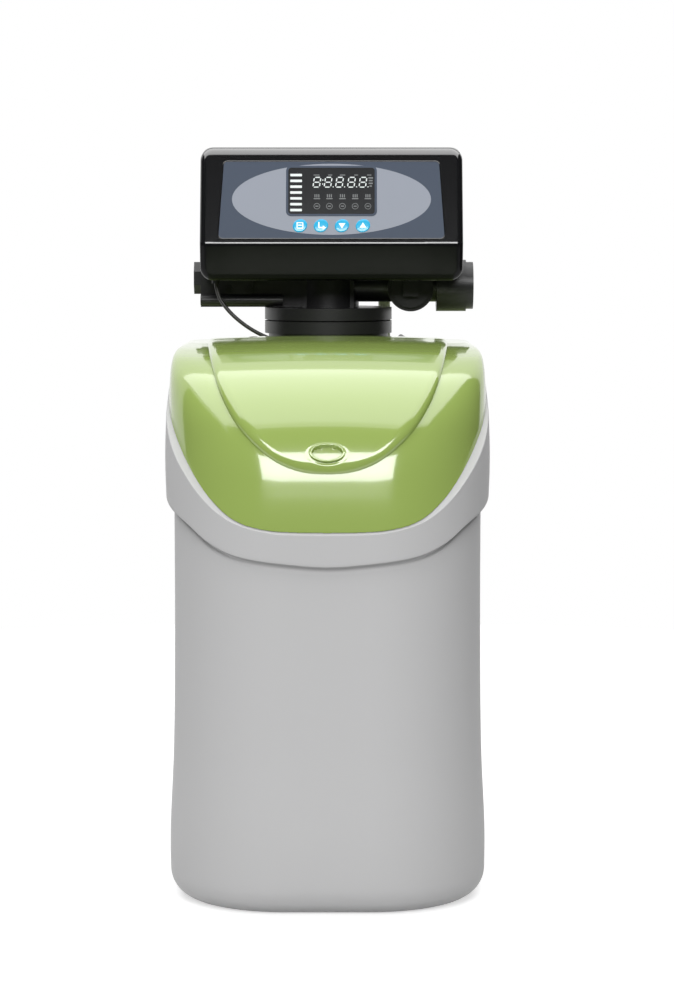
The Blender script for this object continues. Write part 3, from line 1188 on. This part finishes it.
def bare_tree(owner):
    """The emptied node tree of a new material or world."""
    owner.use_nodes = True
    owner.node_tree.nodes.clear()
    return owner.node_tree


def seen_rays(tree):
    """1 for the rays that show a background: straight, mirrored or through glass."""
    rays = add_node(tree, "LightPath").outputs
    return math_node(tree, "MAXIMUM", rays["Is Camera Ray"],
                     math_node(tree, "MAXIMUM", rays["Is Glossy Ray"], rays["Is Transmission Ray"]))


def stage_face(name, points, material):
    mesh = bpy.data.meshes.new(name)
    mesh.from_pydata([tuple(map(float, point)) for point in points], [], [tuple(range(len(points)))])
    mesh.materials.append(material)
    piece = add_object(name, mesh)
    return piece


def build_cloths():
    """Dark cloths round the set, out of the picture, that the gloss and the flanks show."""
    cloth = bpy.data.materials.new("studio_cloth")
    tree = bare_tree(cloth)
    matt = add_node(tree, "BsdfDiffuse", {"Color": CLOTH_COLOUR})
    add_node(tree, "OutputMaterial", {"Surface": matt.outputs[0]})
    back, half, top, lift, near = CLOTH_BACK, CLOTH_HALF, CLOTH_TOP, CLOTH_LIFT, CLOTH_NEAR
    cloths = {
        "flag_front": ([(-half, back, 0), (half, back, 0), (half, back, top), (-half, back, top)], False),
        "flag_low": ([(-half, back, lift), (half, back, lift), (half, near, lift), (-half, near, lift)], False),
        "flag_left": ([(LEFT_X, back, 0), (LEFT_X, LEFT_END, 0), (LEFT_X, LEFT_END, LEFT_TOP),
                       (LEFT_X, back, LEFT_TOP)], True),
        "flag_right": ([(RIGHT_X, RIGHT_BACK, 0), (RIGHT_X, RIGHT_END, 0), (RIGHT_X, RIGHT_END, RIGHT_TOP),
                        (RIGHT_X, RIGHT_BACK, RIGHT_TOP)], True),
    }
    for name, (corners, dims_flank) in cloths.items():
        piece = stage_face(name, corners, cloth)
        piece.visible_camera = False
        piece.visible_shadow = False
        piece.visible_diffuse = dims_flank


def build_studio():
    floor_material = bpy.data.materials.new("studio_floor")
    tree = bare_tree(floor_material)
    matt = add_node(tree, "BsdfDiffuse", {"Color": FLOOR_COLOUR})
    glow = add_node(tree, "Emission", {"Strength": math_node(tree, "MULTIPLY", seen_rays(tree), FLOOR_LIFT)})
    both = add_node(tree, "AddShader", {0: matt.outputs[0], 1: glow.outputs[0]})
    add_node(tree, "OutputMaterial", {"Surface": both.outputs[0]})
    angle = np.linspace(0.0, 2 * math.pi, FLOOR_SIDES, endpoint=False)
    rim = np.stack([FLOOR_REACH * np.cos(angle), FLOOR_REACH * np.sin(angle), 0.0 * angle], axis=-1)
    stage_face("floor_plane", rim, floor_material)

    scene.world = bpy.data.worlds.new("studio_surround")
    tree = bare_tree(scene.world)
    strength = math_node(tree, "ADD", math_node(tree, "MULTIPLY", seen_rays(tree), 1.0 - AMBIENT), AMBIENT)
    plain = add_node(tree, "Background", {"Color": SURROUND_COLOUR, "Strength": strength})
    add_node(tree, "OutputWorld", {"Surface": plain.outputs[0]})


def softbox(name, place, target, width, height, watts, mirrored=True):
    """A soft oblong lamp at a place, turned to face the target."""
    lamp = bpy.data.lights.new(name, "AREA")
    lamp.shape, lamp.size, lamp.size_y, lamp.energy = "RECTANGLE", width, height, watts
    piece = add_object(name, lamp)
    piece.location = place
    piece.visible_glossy = mirrored
    piece.rotation_euler = Vector(np.subtract(target, place)).to_track_quat("-Z", "Y").to_euler()


build_studio()
build_cloths()
softbox("softbox_above", (0.0, -0.05, 2.05), (0.0, -0.05, 0.0), 3.0, 2.5, 48)
softbox("softbox_left", (-2.4, -1.6, 1.0), (0.0, 0.0, 0.3), 1.2, 1.6, 9, mirrored=False)
softbox("softbox_front", (0.0, -2.5, 1.65), (0.0, 0.0, 0.35), 1.6, 0.8, 42)
